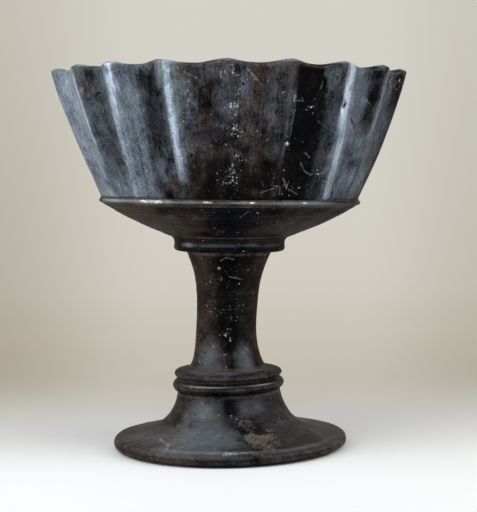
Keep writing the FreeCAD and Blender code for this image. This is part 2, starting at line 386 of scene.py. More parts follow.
def turned(name, runs, steps, softening):
    """The mesh that an outline makes when it is turned round the axis."""
    points = outline(runs, softening)
    angles = np.arange(steps) / steps * 2 * math.pi
    radius, height = points[:, :1], points[:, 1:]
    across = np.broadcast_to(height, (len(points), steps))
    places = np.stack([radius * np.sin(angles), -radius * np.cos(angles), across], axis=-1).reshape(-1, 3)
    closed = points[0, 0] > 0
    rows = len(points) if closed else len(points) - 1
    row, step = np.meshgrid(np.arange(rows), np.arange(steps), indexing="ij")
    above = (row + 1) % len(points)
    beside = (step + 1) % steps
    faces = np.stack([row * steps + step, row * steps + beside, above * steps + beside, above * steps + step],
                     axis=-1)
    mesh = bpy.data.meshes.new(name)
    mesh.from_pydata(places.tolist(), [], faces.reshape(-1, 4).tolist())
    if not closed:
        tidy = bmesh.new()
        tidy.from_mesh(mesh)
        bmesh.ops.remove_doubles(tidy, verts=tidy.verts, dist=SAME_PLACE)
        tidy.to_mesh(mesh)
        tidy.free()
    mesh.shade_smooth()
    piece = bpy.data.objects.new(name, mesh)
    bpy.context.scene.collection.objects.link(piece)
    return piece


def triples(source, name):
    """What each item of a mesh's collection holds under a name: three numbers."""
    flat = np.empty(len(source) * 3, np.float32)
    source.foreach_get(name, flat)
    return flat.reshape(-1, 3).astype(float)


def vertex_places(mesh):
    return triples(mesh.vertices, "co")


def vertex_normals(mesh):
    return triples(mesh.vertex_normals, "vector")


def set_places(mesh, places):
    mesh.vertices.foreach_set("co", places.astype(np.float32).ravel())
    mesh.update()


def note(mesh, name, values):
    """Keeps a number for each vertex, which a material can read."""
    attribute = mesh.attributes.get(name) or mesh.attributes.new(name, "FLOAT", "POINT")
    attribute.data.foreach_set("value", np.asarray(values, np.float32))


def bend_of_surface(mesh, places, normals, rounds):
    """How far each vertex stands out of its surroundings: above 0 on an edge, below 0 in a groove."""
    edges = np.empty(len(mesh.edges) * 2, np.int32)
    mesh.edges.foreach_get("vertices", edges)
    first, second = edges.reshape(-1, 2).T
    number = np.bincount(first, minlength=len(places)) + np.bincount(second, minlength=len(places))
    soft = places
    for _ in range(rounds):
        near = np.column_stack([np.bincount(first, soft[second, axis], len(places))
                                + np.bincount(second, soft[first, axis], len(places)) for axis in range(3)])
        soft = 0.4 * soft + 0.6 * near / number[:, None]
    return ((places - soft) * normals).sum(1)


def settle(places):
    """Leans and tilts each level, as the cup settled in the hand and in the kiln."""
    x, y, z = places.T
    lifted = z + x * np.tan(np.radians(through(TILT, z)))
    return np.column_stack([x + through(LEAN, z), y, lifted])


def angles_of(places):
    """Each place's angle round the cup, in degrees."""
    return np.degrees(np.arctan2(places[:, 0], -places[:, 1]))


def nick(places, angle, height, width, tall):
    """1 at a place on the surface, falling to 0 at width round the cup and tall up it."""
    round_it = angles_of(places) - angle
    round_it = (round_it + 180) % 360 - 180
    across = np.radians(round_it) * np.hypot(places[:, 0], places[:, 1]) / width
    up = (places[:, 2] - height) / tall
    return np.clip(1 - across ** 2 - up ** 2, 0, 1)


def stroke(angle, height, middle, lean, left, right, low, high):
    """A long mark up the wall: 1 along its middle, with its own width to the left and to the right.

    Its middle moves on by lean degrees from its low end to its high end.
    """
    middle = middle + lean * (height - low) / (high - low)
    off = (angle - middle + 180) % 360 - 180
    across = np.clip(1 - (off / np.where(off < 0, left, right)) ** 2, 0, 1)
    taper = 0.22 * (high - low)
    return across * np.clip(np.minimum(height - low, high - height) / taper, 0, 1)


def painted(places, base, marks, seed, rough, strokes=()):
    """A mark from a line of (angle, strength), spots and strokes, with more or less ragged edges.

    marks are (angle, height, width in degrees, tall, strength), and strokes are
    (angle, lean, left, right, low, high, strength).
    """
    angle = angles_of(places)
    height = places[:, 2]
    ragged = 0.30 * waves(places, 0.007, seed) + 0.18 * waves(places, 0.003, seed + 1)
    amount = through(base, angle)
    for middle, level, wide, tall, strength in marks:
        off = (angle - middle + 180) % 360 - 180
        here = np.clip(1.15 - 0.8 * np.hypot(off / wide, (height - level) / tall) + rough * ragged, 0, 1)
        amount = amount + (strength - amount) * here * here * (3 - 2 * here)
    for *path, strength in strokes:
        here = stroke(angle, height, *path)
        amount = amount + (strength - amount) * np.clip(here * (1.15 + 1.1 * ragged), 0, 1)
    return np.clip(amount, 0, 1)


def work_surface(piece, look, seed, ripple=0.0, nicks=(), crust=(), drift=None, edge=0.00006, paint=None,
                 sheltered=0.0, clouded=0.2):
    """Gives a smooth piece its dents, turning lines, nicks, crust and painted marks, then leans it.

    nicks are (angle, height, width, tall, depth), crust is (angle, height, width, tall, thickness,
    cover), and paint gives the base line, marks and strokes of each painted mark. Nothing rubs
    under the sheltered height. clouded is how ragged the edges of the lustre and its painted sheen are.
    """
    mesh = piece.data
    places, normals = vertex_places(mesh), vertex_normals(mesh)
    radius = np.hypot(places[:, 0], places[:, 1])
    moved = look.dents * waves(places, 0.040, seed) + 0.3 * look.dents * waves(places, 0.009, seed + 1)
    path = np.column_stack([places[:, 2] + 0.6 * radius, 0.02 * places[:, 0], 0.02 * places[:, 1]])
    lined = ripple * (0.6 + 0.4 * waves(path, 0.014, seed + 8))
    moved += lined * (waves(path, 0.0016, seed + 2) + 0.8 * waves(path, 0.0045, seed + 3))
    moved[places[:, 2] < RESTING] = 0
    worn = np.zeros(len(places))
    for angle, height, width, tall, depth in nicks:
        here = nick(places, angle, height, width, tall) ** 0.5
        here *= 0.75 + 0.25 * waves(places, 0.0016, seed + 4)
        moved -= depth * here
        worn = np.maximum(worn, here)
    clinging = np.zeros(len(places))
    for angle, height, width, tall, thickness, cover in crust:
        ragged = 0.45 * waves(places, 0.006, seed + 5) + 0.3 * waves(places, 0.0025, seed + 6)
        here = np.clip(2.2 * (nick(places, angle, height, width, tall) - 0.3 + 0.35 * ragged), 0, 1)
        moved += thickness * here * (1 + 0.3 * waves(places, 0.0014, seed + 7))
        clinging = np.maximum(clinging, cover * here)
    bend = bend_of_surface(mesh, places, normals, rounds=14)
    if drift is not None:
        angle = angles_of(places)
        turn = np.radians(angle + through(drift, angle))
        places = np.column_stack([radius * np.sin(turn), -radius * np.cos(turn), places[:, 2]])
        set_places(mesh, places)
        normals = vertex_normals(mesh)
    inwards = (places[:, :2] * normals[:, :2]).sum(1) < 0
    for order, (mark, (base, marks, *strokes)) in enumerate((paint or {}).items()):
        rough = clouded if mark == "lustre_and_painted_sheen" else 0.7
        amount = painted(places, base, marks, seed + 20 + 2 * order, rough, *strokes)
        note(mesh, mark, amount * np.where(inwards, 0.5, 1))
    settled = settle(places + moved[:, None] * normals)
    settled[:, 2] = np.maximum(settled[:, 2], 0)
    set_places(mesh, settled)
    rubbed = np.clip(1.6 * bend / edge - 0.6, 0, 1) * (places[:, 2] > sheltered)
    note(mesh, "wear", np.clip(np.maximum(rubbed, worn), 0, 1))
    note(mesh, "grime", np.clip(-1.4 * bend / edge - 0.2, 0, 1))
    note(mesh, "crust", clinging)
    note(mesh, "outer", ~inwards)


def as_piece(piece, node, material):
    """Puts a finished piece in a node's place."""
    piece.name = node + "_shown"
    piece.data.materials.clear()
    piece.data.materials.append(material)
    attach(piece, "root")
    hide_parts(node)


def wall_tree(sizes, material):
    """The fluted wall: a flat grid, rolled up over a rule for its radius and height."""
    tree = bpy.data.node_groups.new("fluted wall", "GeometryNodeTree")
    graph = Graph(tree)
    values = {"Flutes": sizes.count, "Columns": sizes.columns, "Rows": sizes.rows, "Seed": sizes.seed,
              "Bottom": foot_of("fluted_wall"), "Height": head_of("fluted_wall") - foot_of("fluted_wall"),
              "Base radius": sizes.base_radius, "Lip radius": sizes.lip_radius, "Bulge": sizes.bulge,
              "Flute depth": sizes.depth, "Scallop": sizes.scallop, "Base thickness": sizes.base_thickness,
              "Lip thickness": sizes.lip_thickness, "Bevel": sizes.bevel, "Lip rounding": sizes.lip_round,
              "Softness": sizes.softness, "Unevenness": sizes.unevenness}
    for name, value in values.items():
        kind = "NodeSocketInt" if isinstance(value, int) else "NodeSocketFloat"
        tree.interface.new_socket(name=name, in_out="INPUT", socket_type=kind)
    tree.interface.new_socket(name="Wall", in_out="OUTPUT", socket_type="NodeSocketGeometry")
    first = graph.node("NodeGroupInput")
    given = {socket.name: Value(graph, socket) for socket in first.socket.node.outputs if socket.name}
    flutes, softness = given["Flutes"], given["Softness"]

    grid = graph.node("GeometryNodeMeshGrid", values={"Size X": 1.0, "Size Y": 1.0,
                                                      "Vertices X": flutes * given["Columns"] + 1,
                                                      "Vertices Y": given["Rows"]})
    across, along, _ = graph.parts(graph.node("GeometryNodeInputPosition"))
    across = across + 0.5
    along = along + 0.5

    # Shares of the rows that run up the outside, over the lip, down the inside and back under the base
    outside, lip, inside = 0.53, 0.64, 0.96
    up = (along / outside).clamped() - ((along - lip) / (inside - lip)).clamped()
    over = ((along - outside) / (lip - outside)).clamped()
    back = ((along - inside) / (1 - inside)).clamped()
    over = (1 - (over * math.pi).sum("COSINE")) * 0.5 - back

    angle = across * (2 * math.pi)
    circle = graph.vector(angle.sum("SINE"), angle.sum("COSINE"), given["Seed"])
    swing = graph.noise(circle, 5.0, detail=1.0) * 0.45
    local = graph.noise(graph.vector(angle.sum("SINE"), angle.sum("COSINE"), up * 0.7 + given["Seed"] + 9.0),
                        3.5, detail=2.0) * 0.45

    # Where a point lies in its flute: 0 on the ridge and 0.5 in the middle
    phase = across * flutes + 0.5
    phase = abs(phase - phase.sum("FLOOR") - 0.5)
    eased = (0.5 - (phase * phase + softness * softness).sum("SQRT")) / (0.5 - softness)
    sunk = 1 - eased * eased

    ridge = (given["Base radius"] + up * (given["Lip radius"] - given["Base radius"])
             + given["Bulge"] * 4.0 * up * (1 - up))
    growth = up ** 0.85
    depth = given["Flute depth"] * growth * (1 + given["Unevenness"] * 2.0 * (swing + local))
    thickness = given["Base thickness"] + (given["Lip thickness"] - given["Base thickness"]) * up ** 0.6
    radius = ridge - depth * sunk - thickness * over

    crown = (1 - (over * 2.0 - 1) ** 4.0).sum("SQRT") * given["Lip rounding"] * up ** 8.0
    dip = given["Scallop"] * (sunk + swing * 0.8) * up * up
    height = (given["Bottom"] + up * (given["Height"] - given["Bevel"] - given["Lip rounding"])
              + given["Bevel"] * over * up + crown - dip)
    place = graph.vector(radius * angle.sum("SINE"), radius * angle.sum("COSINE") * -1.0, height)

    wall = graph.node("GeometryNodeSetPosition", values={"Geometry": grid, "Position": place})
    wall = graph.node("GeometryNodeMergeByDistance", values={"Geometry": wall, "Distance": 1e-6})
    wall = graph.node("GeometryNodeRealizeInstances", values={"Geometry": wall})
    wall = graph.node("GeometryNodeSetMaterial", values={"Geometry": wall, "Material": material})
    graph.node("NodeGroupOutput", values={"Wall": wall})
    return tree, values


def made_by_nodes(name, tree, values):
    """The plain mesh that a node tree makes with these inputs."""
    carrier = bpy.data.objects.new(name + "_maker", bpy.data.meshes.new(name))
    bpy.context.scene.collection.objects.link(carrier)
    modifier = carrier.modifiers.new(name, "NODES")
    modifier.node_group = tree
    for item in tree.interface.items_tree:
        if item.in_out == "INPUT":
            modifier[item.identifier] = values[item.name]
    evaluated = carrier.evaluated_get(bpy.context.evaluated_depsgraph_get())
    mesh = bpy.data.meshes.new_from_object(evaluated)
    bpy.data.objects.remove(carrier)
    mesh.name = name
    mesh.shade_smooth()
    piece = bpy.data.objects.new(name, mesh)
    bpy.context.scene.collection.objects.link(piece)
    return piece


def new_material(name):
    """An empty material, its nodes, and each point's place in the object's own space."""
    material = bpy.data.materials.new(name)
    material.use_nodes = True
    graph = Graph(material.node_tree)
    return material, graph, graph.node("ShaderNodeTexCoord", output="Object")


def scored(graph, angle, height, lines, width):
    """1 along scratches from (angle, height) to (angle, height), fading towards their ends."""
    flat = graph.vector(angle, height, 0.0)
    mark = 0.0
    for first, low, last, high in lines:
        start = Vector((SCORE_REACH * math.radians(first), low, 0))
        way = Vector((SCORE_REACH * math.radians(last), high, 0)) - start
        off = graph.vectors("SUBTRACT", [flat, start])
        along = graph.vectors("DOT_PRODUCT", [off, way / way.length_squared], "Value").clamped()
        nearest = graph.vectors("SCALE", {"Vector": way, "Scale": along})
        gap = graph.vectors("DISTANCE", [off, nearest], "Value")
        mark = (1 - gap.rise(0.0, width)) * (1 - along * 0.5) + mark
    return mark.clamped()


def clay(name, look, strokes, shine, unrest, tint, scores=(), cracks=()):
    """Burnished clay.

    strokes is "up" where the burnisher followed the flutes, or "round" where the piece was turned.
    shine is how well the burnish has lasted, unrest how patchy its lustre and painted sheen are, and
    tint their own hue. scores are pale scratches, and cracks are dark ones.
    """
    material, graph, place = new_material(name)
    x, y, z = graph.parts(place)
    radius = (x * x + y * y).sum("SQRT") + OFF_ZERO
    # The lustre mask is painted sheen: partly real graphite lustre, partly painted highlights and reflections
    # laid by angle and height
    lustre_and_painted_sheen, brown, flecks, wear, grime, crust, outer = (
        graph.node("ShaderNodeAttribute", {"attribute_name": mark}, output="Fac")
        for mark in ("lustre_and_painted_sheen", "brown", "flecks", "wear", "grime", "crust", "outer"))

    cloud = graph.noise(place, 34.0, 5.0, 0.6, 0.4)
    blotch = graph.noise(place, 120.0, 7.0, 0.72, 0.4)
    film = graph.noise(place, 75.0, 5.0, 0.7, 0.8)
    bloom = graph.noise(place, 52.0, 5.0, 0.65, 0.6)
    grain = graph.noise(place, 1100.0, 4.0, 0.7)
    if strokes == "up":
        sweep = graph.vector(x / radius * 0.07, y / radius * 0.07, z * 0.12)
    else:
        sweep = graph.vector(x / radius * 0.0016, y / radius * 0.0016, z + radius * 0.7)
    broad = graph.noise(sweep, 260.0, 4.0, 0.6)
    hair = graph.noise(sweep, 1500.0, 3.0, 0.6)
    dash = graph.noise(sweep, 3200.0, 2.0, 0.5)

    wobble = graph.node("ShaderNodeTexNoise", values={"Vector": place, "Scale": 1400.0, "Detail": 2.0},
                        output="Color")
    ragged = graph.vectors("MULTIPLY_ADD", [wobble, (0.0016, 0.0016, 0.0016), place])

    def grit(scale, least, most, share):
        """Ragged spots, one in some of the cells: where they are, and how big."""
        spots = graph.node("ShaderNodeTexVoronoi", {"feature": "F1"}, {"Vector": ragged, "Scale": scale})
        lot, size, _ = graph.parts(spots.other("Color"))
        edge = least + size * size * (most - least)
        return (1 - spots.rise(edge * 0.6, edge)) * lot.rise(share, share + 0.02)

    tall = graph.vectors("MULTIPLY", [ragged, (1.0, 1.0, 0.45)])
    flake = graph.noise(tall, 1050.0, 3.0, 0.7)
    crowd = (flecks * (1 + blotch * 2.5) + (blotch + cloud).rise(0.3, 0.7) * 0.06).clamped()
    speck = (grit(480.0, 0.04, 0.24, 1 - crowd * 0.4) + grit(1100.0, 0.06, 0.36, 1 - crowd * 0.5)
             + dash.rise(0.28, 0.42) * (flecks * blotch.rise(-0.1, 0.3)).clamped() * 0.6).clamped()
    solid = (flecks - 0.85).clamped() * 3.0
    flaked = ((flake + flecks * 0.35 + solid).rise(0.42, 0.54) * (flecks * 1.6 - 0.3).clamped()
              * (hair + 0.8).clamped())
    lines = graph.noise(place, 60.0, 1.0, 0.4)
    scratch = ((1 - abs(lines).rise(0.0, 0.035)) * graph.noise(place, 48.0, 3.0).rise(0.12, 0.3)
               * (0.5 + hair).clamped())
    pit = grit(420.0, 0.06, 0.30, 0.955)

    brownness = (brown * (1 + blotch * 1.6 + bloom * 1.8 + hair * 0.3)
                 + (cloud + blotch * 0.7) * (brown + 0.06) * 0.6).clamped()
    tone = graph.mixed(brownness, look.black, look.brown)
    tone = graph.mixed(film.rise(-0.1, 0.3) * brownness * unrest * 0.8, tone, look.olive)
    # Violet haze, laid only where the lustre mask and its painted sheen lie
    tone = graph.mixed(bloom.rise(0.02, 0.26) * (lustre_and_painted_sheen * 5.0).clamped() * 0.75, tone, look.haze)
    shade = 1 + grain * 1.2 + hair * 0.3 + blotch * 0.8
    tone = graph.mixed(1.0, tone, graph.vector(shade, shade, shade), "MULTIPLY")
    tone = graph.mixed(grime * 0.8, tone, tuple(0.5 * part for part in look.brown))
    ground = broad * 0.6 + hair * 0.8 + blotch * 1.05 + cloud * 0.6 + grain * 1.0
    # Painted sheen: the lustre colour goes into the base colour and the metal along the lustre mask, as
    # painted highlights and reflections
    sheen = (lustre_and_painted_sheen * 0.77 * (1 + ground * unrest)
             + (lustre_and_painted_sheen * 1.6).clamped() * (ground - 0.35).rise(0.0, 0.6) * 0.25 - 0.02 - pit).clamped()
    eaten = flake.rise(0.02, 0.34) * (blotch + 0.6).clamped() * lustre_and_painted_sheen.rise(0.2, 0.6)
    sheen = (sheen * (1 - eaten * 0.5) + (lustre_and_painted_sheen - 0.8).clamped() * 1.2 + scratch * 0.10 * unrest).clamped()
    bluish, greenish = (tuple(a * b * c for a, b, c in zip(look.lustre_and_painted_sheen, tint, cast))
                        for cast in ((1.0, 0.97, 1.05), (0.93, 1.02, 0.96)))
    cast = graph.mixed((film * 2.0 + 0.65).clamped(), bluish, greenish)
    tone = graph.mixed(sheen, tone, cast)
    rubbed = (wear * (0.45 + blotch * 1.3 + grain * 0.9)).clamped()
    tone = graph.mixed(rubbed * 0.85, tone, look.worn)
    turning = (1 - abs(graph.noise(sweep, 230.0, 2.0)).rise(0.0, 0.05)) * (blotch + cloud).rise(0.0, 0.5)
    tone = graph.mixed(turning * 0.30, tone, look.worn)
    tone = graph.mixed(pit, tone, (0.002, 0.002, 0.002))
    tone = graph.mixed(flaked * 0.95, tone, tuple(a * b for a, b in zip(look.speck, tint)))
    tone = graph.mixed(speck, tone, look.speck)
    chip = solid.rise(0.1, 0.25) * flaked
    shaken, _, shaken_up = graph.parts(wobble)
    turn = (x - z * LEAN_PER_METRE).sum("ARCTAN2", y * -1.0) * SCORE_REACH + (shaken - 0.5) * 0.0012
    level = z + (shaken_up - 0.5) * 0.0012
    if scores:
        broken = (hair + grain * 1.5 + 0.6).clamped() * 0.45
        tone = graph.mixed(scored(graph, turn, level, scores, 0.00036) * broken * outer, tone, look.speck)
    if cracks:
        cracked = scored(graph, turn, level, cracks, 0.0008) * outer
        tone = graph.mixed(cracked, tone, (0.001, 0.001, 0.001))
        sheen = sheen * (1 - cracked)
    earth = (crust * (1.5 + grain * 1.6 + blotch * 2.6) - 0.38).clamped() * 0.9
    clod = (1 + grain * 1.4 + blotch * 0.8) * 0.9
    tone = graph.mixed(earth, tone, graph.mixed(1.0, look.crust, graph.vector(clod, clod, clod), "MULTIPLY"))
    tone = graph.mixed(chip, tone, look.chip)

    dull = (earth + grime * 0.5 + speck + chip + rubbed * 0.4).clamped()
    metal = sheen * 0.9 * (1 - dull)
    roughness = look.matt + grain * 0.10 + hair * 0.12 + dull * 0.3 - sheen * 0.14
    skin = (shine * (1 + cloud * 2.5 + blotch * 1.6 + hair * 1.2) + lustre_and_painted_sheen * 0.3).clamped() * (1 - dull)

    height = grain * 0.5 + hair * 0.35 + broad * 0.4 - pit * 1.2 + earth * (0.8 + grain) + speck * 0.3
    bump = graph.node("ShaderNodeBump", values={"Strength": 0.6, "Distance": 0.0003, "Height": height})
    shader = graph.node("ShaderNodeBsdfPrincipled", values={
        "Base Color": tone, "Metallic": metal, "Roughness": roughness, "Normal": bump, "Coat Weight": skin,
        "Coat Roughness": look.gloss, "Coat IOR": 1.55, "IOR": 1.45, "Specular IOR Level": 0.02})
    graph.node("ShaderNodeOutputMaterial", values={"Surface": shader})
    return material


def body_clay(look):
    """The turned pieces' clay, with the scratches on the foot and stem."""
    scores = [(-50, 0.0080, -38, 0.0070), (-38, 0.0070, -33, 0.0055), (-26, 0.0760, -12, 0.0770),
              (0, 0.0775, 24, 0.0760), (-13, 0.0845, -4, 0.0860), (-4, 0.0860, 8, 0.0850),
              (6, 0.1045, 9, 0.1070)]
    return shared("burnished_body", clay, look, "round", 0.03, 0.36, WARM, scores)


def body_piece(context, node, runs, steps, seed, rubbed=1.0, **surface):
    """Turns a piece of the body, works its surface and puts it in its node's place."""
    sizes = context.scene.cup_body
    piece = turned(node, runs, steps, rubbed * sizes.softening)
    work_surface(piece, sizes, seed, **surface)
    as_piece(piece, node, body_clay(context.scene.cup_clay))


def slip(name, look):
    """Dull fired slip, seen only where two pieces meet."""
    material, graph, place = new_material(name)
    grain = graph.noise(place, 1200.0, 5.0, 0.65)
    tone = graph.mixed((grain + 0.5).clamped(), tuple(0.6 * part for part in look.slip), look.slip)
    bump = graph.node("ShaderNodeBump", values={"Strength": 0.4, "Distance": 0.0001, "Height": grain})
    shader = graph.node("ShaderNodeBsdfPrincipled", values={
        "Base Color": tone, "Roughness": 0.8 + grain * 0.1, "Normal": bump})
    graph.node("ShaderNodeOutputMaterial", values={"Surface": shader})
    return material


def shared(name, make, *settings):
    """A material that is made once and used again."""
    return bpy.data.materials.get(name) or make(name, *settings)


# How brown, lustrous and flecked the turned pieces are, by angle. The lustre is painted sheen, and the brown
# falls nearly to black at the front, a painted dark band.
BODY_BROWN = ((-180, 0.3), (-140, 0.5), (-90, 0.65), (-22, 0.6), (-10, 0.1), (10, 0.02), (22, 0.2),
              (60, 0.4), (90, 0.5), (130, 0.25), (180, 0.3))
BODY_LUSTRE_AND_SHEEN = ((-180, 0.03), (180, 0.03))
STEM_BROWN = ((-180, 0.3), (-90, 0.6), (-30, 0.45), (-10, 0.05), (12, 0.0), (25, 0.12), (60, 0.35),
              (90, 0.4), (180, 0.3))
BODY_FLECKS = ((-180, 0.04), (-90, 0.07), (-15, 0.16), (0, 0.20), (12, 0.17), (30, 0.10), (90, 0.05),
               (180, 0.04))
STEM_FLECKS = ((-180, 0.05), (-60, 0.12), (-20, 0.22), (0, 0.25), (20, 0.20), (60, 0.10), (180, 0.05))
BODY_PAINT = {"brown": (BODY_BROWN, ()), "lustre_and_painted_sheen": (BODY_LUSTRE_AND_SHEEN, ()), "flecks": (BODY_FLECKS, ())}


# The wall's base lines by angle, and its marks and strokes, laid out as painted() takes them. The lustre ones
# are painted sheen and highlights.
WALL_LUSTRE_AND_SHEEN = ((-180, 0.14), (-160, 0.08), (-140, 0.22), (-115, 0.10), (-95, 0.26), (-72, 0.32),
               (-65, 0.44), (-57, 0.46), (-53, 0.18), (-49.5, 0.16), (-46, 0.10), (-42, 0.18), (-39, 0.30),
               (-35, 0.28), (-32, 0.25), (-28, 0.11), (-24, 0.05), (-20, 0.14), (-14, 0.10), (-8, 0.04),
               (0, 0.06), (6, 0.06), (16, 0.06), (19, 0.06), (23, 0.0), (31, 0.0), (35, 0.08), (37, 0.10),
               (40, 0.22), (45, 0.19), (50, 0.14), (54, 0.07), (58, 0.13), (70, 0.10), (77, 0.03),
               (86, 0.04), (100, 0.2), (118, 0.05), (140, 0.18), (165, 0.06), (180, 0.14))
# Painted sheen spots, among them a painted highlight line along the lip
WALL_LUSTRE_AND_SHEEN_MARKS = ((-49, 0.157, 5, 0.010, 0.06), (-46, 0.140, 4, 0.016, 0.10),
                     (-23.5, 0.148, 3.4, 0.020, 0.045), (-49, 0.118, 17, 0.006, 0.26),
                     (60, 0.119, 14, 0.006, 0.20), (-68, 0.120, 5, 0.006, 0.27), (4, 0.117, 30, 0.014, 0.0),
                     (-1.5, 0.152, 3.4, 0.010, 0.13), (5.5, 0.158, 2.2, 0.008, 0.13),
                     (10, 0.161, 2.0, 0.007, 0.0), (14.6, 0.150, 2.0, 0.013, 0.14),
                     (-12.5, 0.151, 2.4, 0.008, 0.20), (-7.4, 0.161, 2.0, 0.006, 0.10),
                     (0, 0.132, 10, 0.007, 0.03), (-52, 0.119, 8, 0.007, 0.15), (36, 0.118, 5, 0.008, 0.04),
                     (36, 0.130, 2.4, 0.008, 0.06), (-26, 0.166, 3.6, 0.004, 0.24),
                     (-25.5, 0.123, 2.6, 0.006, 0.20), (34, 0.162, 2.2, 0.007, 0.20),
                     (55, 0.133, 3, 0.006, 0.22), (-42, 0.1673, 42, 0.0008, 0.5),
                     (36, 0.1673, 40, 0.0007, 0.35), (54, 0.155, 2.0, 0.014, 0.02),
                     (72, 0.162, 3, 0.006, 0.03))
# Painted highlight streaks down the ridges at the front
WALL_HIGHLIGHT_STREAKS = ((-57.5, 0, 6.0, 3.0, 0.122, 0.172, 0.48), (-54.6, 0, 1.1, 0.5, 0.132, 0.172, 0.95),
                (-41.0, 4.0, 3.0, 3.0, 0.108, 0.184, 0.40), (-39.5, 3.5, 1.4, 1.4, 0.138, 0.184, 0.95),
                (-42.0, 3.0, 1.3, 1.6, 0.108, 0.152, 0.60), (-18.0, 0, 1.8, 3.4, 0.116, 0.184, 0.34),
                (-18.2, 0, 1.1, 1.6, 0.119, 0.184, 0.80), (-19.8, 0, 1.8, 1.0, 0.156, 0.190, 0.40),
                (19.0, 0, 0.6, 0.6, 0.124, 0.160, 0.10), (20.8, 0, 0.5, 0.5, 0.132, 0.158, 0.12),
                (44.2, -4.4, 3.0, 4.0, 0.108, 0.182, 0.26), (44.4, -4.4, 1.8, 2.8, 0.106, 0.160, 0.56),
                (40.4, -0.8, 2.2, 2.4, 0.138, 0.188, 1.0), (57.5, 0, 1.0, 3.0, 0.136, 0.170, 0.28))
WALL_BROWN = ((-180, 0.4), (-150, 0.15), (-100, 0.3), (-60, 0.05), (-31, 0.1), (-24, 0.0), (-19, 0.15),
              (-15, 0.5), (-10, 0.75), (-4, 0.3), (3, 0.35), (8, 0.85), (13, 0.8), (17, 0.45), (21, 0.1),
              (30, 0.0), (36, 0.08), (56, 0.1), (90, 0.2), (140, 0.5), (180, 0.4))
WALL_BROWN_MARKS = ((-12.5, 0.151, 2.4, 0.008, 0.8), (10, 0.161, 2.4, 0.007, 1.0),
                    (-50, 0.161, 4, 0.006, 1.0), (-15, 0.158, 4, 0.010, 0.8), (-19, 0.1175, 9, 0.004, 0.9),
                    (4, 0.118, 30, 0.014, 0.08), (-20, 0.118, 7, 0.003, 0.9), (2, 0.165, 5, 0.003, 0.2),
                    (19, 0.163, 2.2, 0.003, 1.0))
WALL_FLECKS = ((-180, 0.05), (-60, 0.05), (-20, 0.06), (-3, 0.2), (3, 0.4), (7, 0.2), (20, 0.15),
               (40, 0.05), (180, 0.05))
WALL_FLECK_MARKS = ((1, 0.1628, 4, 0.003, 0.8), (2, 0.150, 3.6, 0.004, 0.87), (3, 0.1405, 6, 0.003, 0.87),
                    (2.6, 0.1285, 2.2, 0.003, 0.86), (0.8, 0.1225, 2.4, 0.004, 0.86),
                    (-1.5, 0.1190, 3.5, 0.0015, 0.8), (20.5, 0.148, 1.0, 0.009, 0.8),
                    (28, 0.1492, 2.5, 0.0012, 0.88), (-14, 0.145, 2, 0.014, 0.5),
                    (-12.5, 0.151, 2.6, 0.008, 0.7), (20, 0.135, 1.2, 0.002, 0.95),
                    (73, 0.160, 5, 0.004, 0.8), (22, 0.1165, 9, 0.002, 0.5), (-67, 0.160, 4, 0.004, 0.7))


def wall_paint(count):
    """The fluted wall's marks, its painted highlight streaks among them: the front as it is, and the rest by
    the same habits.
    """
    strokes = list(WALL_HIGHLIGHT_STREAKS)
    chance = np.random.default_rng(83)
    # Painted highlight streaks down the other ridges
    for number in range(5, count - 4):
        middle = number * 360 / count + chance.uniform(-1, 1)
        low, high = chance.uniform(0.112, 0.130), chance.uniform(0.158, 0.174)
        left, right = chance.uniform(1.0, 3.0, 2)
        strokes.append((middle, 0, 2 * left, 2 * right, low, high, chance.uniform(0.2, 0.45)))
        strokes.append((middle, 0, 0.6 * left, 0.6 * right, low + 0.008, high, chance.uniform(0.3, 0.95)))
    return {"lustre_and_painted_sheen": (WALL_LUSTRE_AND_SHEEN, WALL_LUSTRE_AND_SHEEN_MARKS, strokes), "brown": (WALL_BROWN, WALL_BROWN_MARKS),
            "flecks": (WALL_FLECKS, WALL_FLECK_MARKS)}


